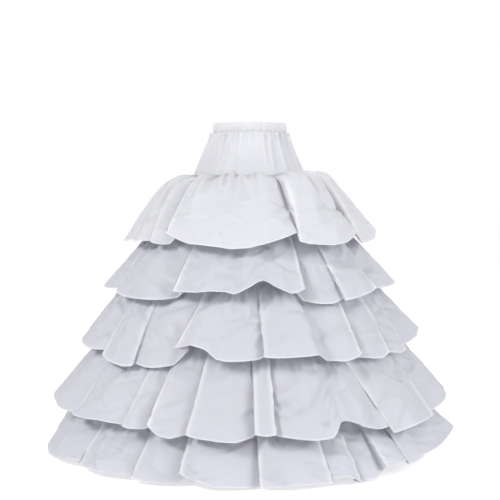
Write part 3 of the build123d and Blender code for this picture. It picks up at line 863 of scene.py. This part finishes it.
class PETTICOAT_OT_underskirt(bpy.types.Operator):
    """Stretch the plain underskirt over the hoops and sew the hoop casings inside it"""

    bl_idname = "petticoat.underskirt"
    bl_label = "Underskirt and casings"

    def execute(self, context):
        cloth = context.scene.petticoat_cloth
        angles = all_round(RING_COLUMNS)
        along = np.linspace(0.0, 2 * math.pi * 530.0, RING_COLUMNS + 1)
        heights = np.array([820.0, 800.0, 760.0, 720.0, 680.0, 645.0, 632.0, 625.0, 618.0, 600.0,
                            560.0, 520.0, 480.0, 445.0, 437.0, 430.0, 423.0, 410.0, 375.0, 335.0,
                            295.0, 255.0, 247.0, 240.0, 233.0, 220.0, 180.0, 140.0, 100.0, 64.0,
                            55.0, 48.0, 41.0, 34.0, 29.0, 28.0, 22.5, 22.0])
        radius = np.interp(heights, WALL_HEIGHTS, WALL_RADII)[:, None]
        inner = around(radius, angles, heights[:, None])
        outer = around(radius + UNDERSKIRT_CLOTH * 0.9, angles, heights[:, None])
        piece = closed_cloth("underskirt_cloth", outer, inner, along, heights - UNDERSKIRT_HEM)
        material = cloth_finish("underskirt_taffeta", cloth.lower_colour, cloth.hem_and_highlight_colour,
                                0.007, 0.3)
        dress(piece, material, "underskirt")
        tape = cloth_finish("casing_tape", cloth.tape_colour, cloth.hem_and_highlight_colour, 0.002, 0.15, 1500.0)
        for number, height in enumerate(HOOP_HEIGHTS, 1):
            self.casing(number, height, tape)
        return {"FINISHED"}

    def casing(self, number, height, material):
        """Sew the tape over the bend in the wall that its hoop makes."""
        index = WALL_HEIGHTS.index(height)
        wall = np.array([WALL_RADII, WALL_HEIGHTS]).T
        knot = wall[index]
        above, below = wall[index + 1] - knot, wall[index - 1] - knot
        above, below = above / np.linalg.norm(above), below / np.linalg.norm(below)
        way = (above - below) / np.linalg.norm(above - below)
        inward = np.array([-way[1], way[0]])
        bend = abs(above[0] * way[1] - above[1] * way[0])

        def place(distance, depth):
            """A point so far up along the tape and so deep in from the bend."""
            return knot + way * distance + inward * depth

        def sewn_edge(side):
            """The tape's flat edge above or below the hoop, from the outside in."""
            edge = knot + side * TAPE_HALF
            return [edge, edge + inward * TAPE_CLOTH, knot + side * 8.0 + inward * 0.85]

        near = bend * CHANNEL_HALF + TAPE_CLOTH
        far = near + 2 * CHANNEL_HALF_DEPTH
        back = far + TAPE_CLOTH
        foot = RIDGE_HALF + TAPE_SLOPE
        low = bend * foot + TAPE_CLOTH
        section = sewn_edge(above) + [
            place(foot, low), place(RIDGE_HALF, back), place(0.0, back), place(-RIDGE_HALF, back),
            place(-foot, low),
        ] + sewn_edge(below)[::-1]
        half = CHANNEL_HALF
        hollow = [place(half, near), place(0.0, near), place(-half, near),
                  place(-half, far), place(0.0, far), place(half, far)]
        rings = [around(points[:, :1], all_round(RING_COLUMNS), points[:, 1:])
                 for points in (np.array(section), np.array(hollow))]
        girth = 2 * math.pi * knot[0]
        piece = channelled_ring(f"hoop_casing_{number}_tape", *rings, girth, False)
        dress(piece, material, f"hoop_casing_{number}")


class PETTICOAT_OT_ruffles(bpy.types.Operator):
    """Sew the five gathered ruffles with their folds, creases and turned hems"""

    bl_idname = "petticoat.ruffles"
    bl_label = "Ruffles"

    def execute(self, context):
        cloth = context.scene.petticoat_cloth
        upper = cloth_finish("upper_ruffle_taffeta", cloth.upper_colour, cloth.hem_and_highlight_colour,
                             cloth.hem_width, 0.4)
        lower = cloth_finish("lower_ruffle_taffeta", cloth.lower_colour, cloth.hem_and_highlight_colour,
                             cloth.hem_width, 0.4)
        ruffles = sew_plan()
        moves = settle(ruffles)
        for ruffle, moved in zip(ruffles, moves):
            piece, width = self.sew(ruffle, moved, cloth)
            first = ruffle.number == 1
            dress(piece, upper if first else lower, f"ruffle_{ruffle.number}")
        return {"FINISHED"}

    def sew(self, ruffle, moved, cloth):
        """A ruffle's piece of cloth, and the width of that cloth laid flat."""
        angles, along, width = even_columns(ruffle, cloth.column_spacing / MM)
        hem = cloth.hem_width / MM
        close = [0.0, 0.5, 1.2, hem - 1.2, hem - 0.3, hem + 1.2]
        spaced = np.linspace(hem + 4.5, ruffle.fall, int(ruffle.fall / 4.9))
        from_hem = np.concatenate([close, spaced])[::-1]
        step = 1 - from_hem / ruffle.fall
        middle = ruffled(ruffle, angles, step)
        if moved is not None:
            middle = middle + self.buckles(ruffle, angles, step, moved, middle[..., 2])
        rises = np.array([HEADING, HEADING * 0.5, 1.0])
        gathers = ruffle.relief(angles, [0.0])[0] * 0.6
        radius = (cloth_radius(ruffle.seam + rises) + SEAM_CLEARANCE + 0.6)[:, None] + gathers
        heading = around(radius, angles, (ruffle.seam + rises)[:, None])
        middle = np.concatenate([heading, middle])
        ups = np.concatenate([ruffle.fall + rises, from_hem])
        # Cloth that would sink to the floor is eased up, so that the hem rests just over it.
        middle[..., 2] = 1.0 + 0.5 * np.logaddexp(0.0, (middle[..., 2] - 1.0) / 0.5)
        half = np.full(len(ups), cloth.thickness / MM / 2)
        for level, share in ((hem, 1.0), (1.0, 0.85), (0.2, 0.4)):
            half[ups < level] = cloth.hem_thickness / MM / 2 * share
        inset = grid_normals(middle) * half[:, None, None]
        piece = closed_cloth(ruffle.name, middle + inset, middle - inset,
                             np.append(along, width), ups)
        # Painted highlight along the lips, fading out towards the seam, stored as a point attribute
        # for the cloth's colour.
        fade = np.clip((ruffle.fall - ups) / 30.0, 0.0, 1.0)
        painted_lip_highlight = np.tile(np.outer(fade, ruffle.painted_lip_highlight(angles)).ravel(), 2)
        piece.data.attributes.new("painted_lip_highlight", "FLOAT", "POINT").data.foreach_set("value", painted_lip_highlight)
        return piece, width

    def buckles(self, ruffle, angles, step, moved, height):
        """The settled cloth's moves on the fine mesh, held off the floor."""
        rows, columns = moved.shape[:2]
        places = np.arange(len(angles)) * columns / len(angles)
        moves = ruffle.calm(angles, step) * resample(moved, step * (rows - 1), places)
        room = np.maximum(height - 1.5, 0.1)
        drop = np.minimum(moves[..., 2], 0.0)
        moves[..., 2] += -drop - room * np.tanh(-drop / room)
        return moves


class PETTICOAT_OT_hardware(bpy.types.Operator):
    """Finish the elastic, the hoops and their sleeves"""

    bl_idname = "petticoat.hardware"
    bl_label = "Elastic, hoops and sleeves"

    def execute(self, context):
        cloth = context.scene.petticoat_cloth
        finishes = {"waist_elastic": elastic_finish(cloth.elastic_colour)}
        sleeve = steel_finish("crimped_sleeve_steel", cloth.steel_colour, 0.3, 300.0)
        strip_steel = steel_finish("hoop_steel", cloth.steel_colour, 0.38, 900.0)
        for number in range(1, len(HOOP_HEIGHTS) + 1):
            finishes[f"hoop_sleeve_{number}"] = sleeve
            finishes[f"hoop_{number}"] = strip_steel
        for node, finish in finishes.items():
            for slot in packed(node).material_slots:
                slot.material = finish
        return {"FINISHED"}


class PETTICOAT_OT_stage(bpy.types.Operator):
    """Lay the white floor and set the camera and the soft light"""

    bl_idname = "petticoat.stage"
    bl_label = "Stage"

    def execute(self, context):
        stage = context.scene.petticoat_stage
        scene = context.scene
        scene.view_settings.view_transform = "Standard"
        camera = bpy.data.cameras.new("camera")
        camera.lens, camera.sensor_width = stage.lens, 36.0
        placed = bpy.data.objects.new("camera", camera)
        placed.location = (0.0, -stage.camera_distance, stage.camera_height)
        placed.rotation_euler = (math.pi / 2 - stage.camera_tilt, 0.0, 0.0)
        scene.collection.objects.link(placed)
        scene.camera = placed
        self.floor()
        self.world(scene, stage.ambient)
        for name, place, size, share in LAMPS:
            self.lamp(scene, name, place, size, stage.key_power * share)
        return {"FINISHED"}

    def floor(self):
        """A wide white floor that shows only the shadows on it."""
        bpy.ops.object.select_all(action="DESELECT")
        bpy.ops.mesh.primitive_circle_add(
            vertices=96, radius=30.0, fill_type="NGON", location=(0, 0, 0))
        floor = bpy.context.object
        floor.name = "floor"
        n = Nodes(bpy.data.materials.new("white_floor"))
        matt = n.add("ShaderNodeBsdfDiffuse", {"Color": (0.75, 0.75, 0.76, 1.0)}).outputs[0]
        bright = n.add("ShaderNodeEmission", {"Color": WHITE, "Strength": 0.6}).outputs[0]
        both = n.add("ShaderNodeAddShader", {0: matt, 1: bright}).outputs[0]
        shown = n.add("ShaderNodeMixShader", {0: n.seen(), 1: matt, 2: both}).outputs[0]
        floor.data.materials.append(n.finish(shown))

    def world(self, scene, ambient):
        """Even light from all round, and a white background."""
        n = Nodes(bpy.data.worlds.new("studio"))
        light = n.add("ShaderNodeBackground", {"Color": WHITE, "Strength": ambient}).outputs[0]
        white = n.add("ShaderNodeBackground", {"Color": WHITE}).outputs[0]
        both = n.add("ShaderNodeMixShader", {0: n.seen(), 1: light, 2: white}).outputs[0]
        scene.world = n.finish(both, "ShaderNodeOutputWorld")

    def lamp(self, scene, name, place, size, power):
        """A round, soft lamp that shines at the skirt's axis."""
        light = bpy.data.lights.new(name, "AREA")
        light.shape, light.size, light.energy = "DISK", size, power
        lamp = bpy.data.objects.new(name, light)
        lamp.location = place
        x, y, z = place
        lamp.rotation_euler = (
            math.atan2(math.hypot(x, y), z - LAMP_AIM), 0.0, math.atan2(x, -y))
        scene.collection.objects.link(lamp)


class PETTICOAT_PT_panel(bpy.types.Panel):
    """The petticoat's pieces, in the order in which they are made"""

    bl_label = "Petticoat"
    bl_idname = "PETTICOAT_PT_panel"
    bl_space_type = "VIEW_3D"
    bl_region_type = "UI"
    bl_category = "Petticoat"

    def draw(self, context):
        for operator in OPERATORS:
            self.layout.operator(operator.bl_idname)
        for settings in (context.scene.petticoat_cloth, context.scene.petticoat_stage):
            for name in settings.__annotations__:
                self.layout.prop(settings, name)


OPERATORS = (
    PETTICOAT_OT_waistband, PETTICOAT_OT_yoke, PETTICOAT_OT_underskirt, PETTICOAT_OT_ruffles,
    PETTICOAT_OT_hardware, PETTICOAT_OT_stage,
)
CLASSES = (ClothSettings, StageSettings) + OPERATORS + (PETTICOAT_PT_panel,)


def register():
    for cls in CLASSES:
        bpy.utils.register_class(cls)
    bpy.types.Scene.petticoat_cloth = bpy.props.PointerProperty(type=ClothSettings)
    bpy.types.Scene.petticoat_stage = bpy.props.PointerProperty(type=StageSettings)


def unregister():
    del bpy.types.Scene.petticoat_stage
    del bpy.types.Scene.petticoat_cloth
    for cls in reversed(CLASSES):
        bpy.utils.unregister_class(cls)


def main():
    register()
    bpy.ops.petticoat.waistband()
    bpy.ops.petticoat.yoke()
    bpy.ops.petticoat.underskirt()
    bpy.ops.petticoat.ruffles()
    bpy.ops.petticoat.hardware()
    bpy.ops.petticoat.stage()


if __name__ == "__main__":
    main()
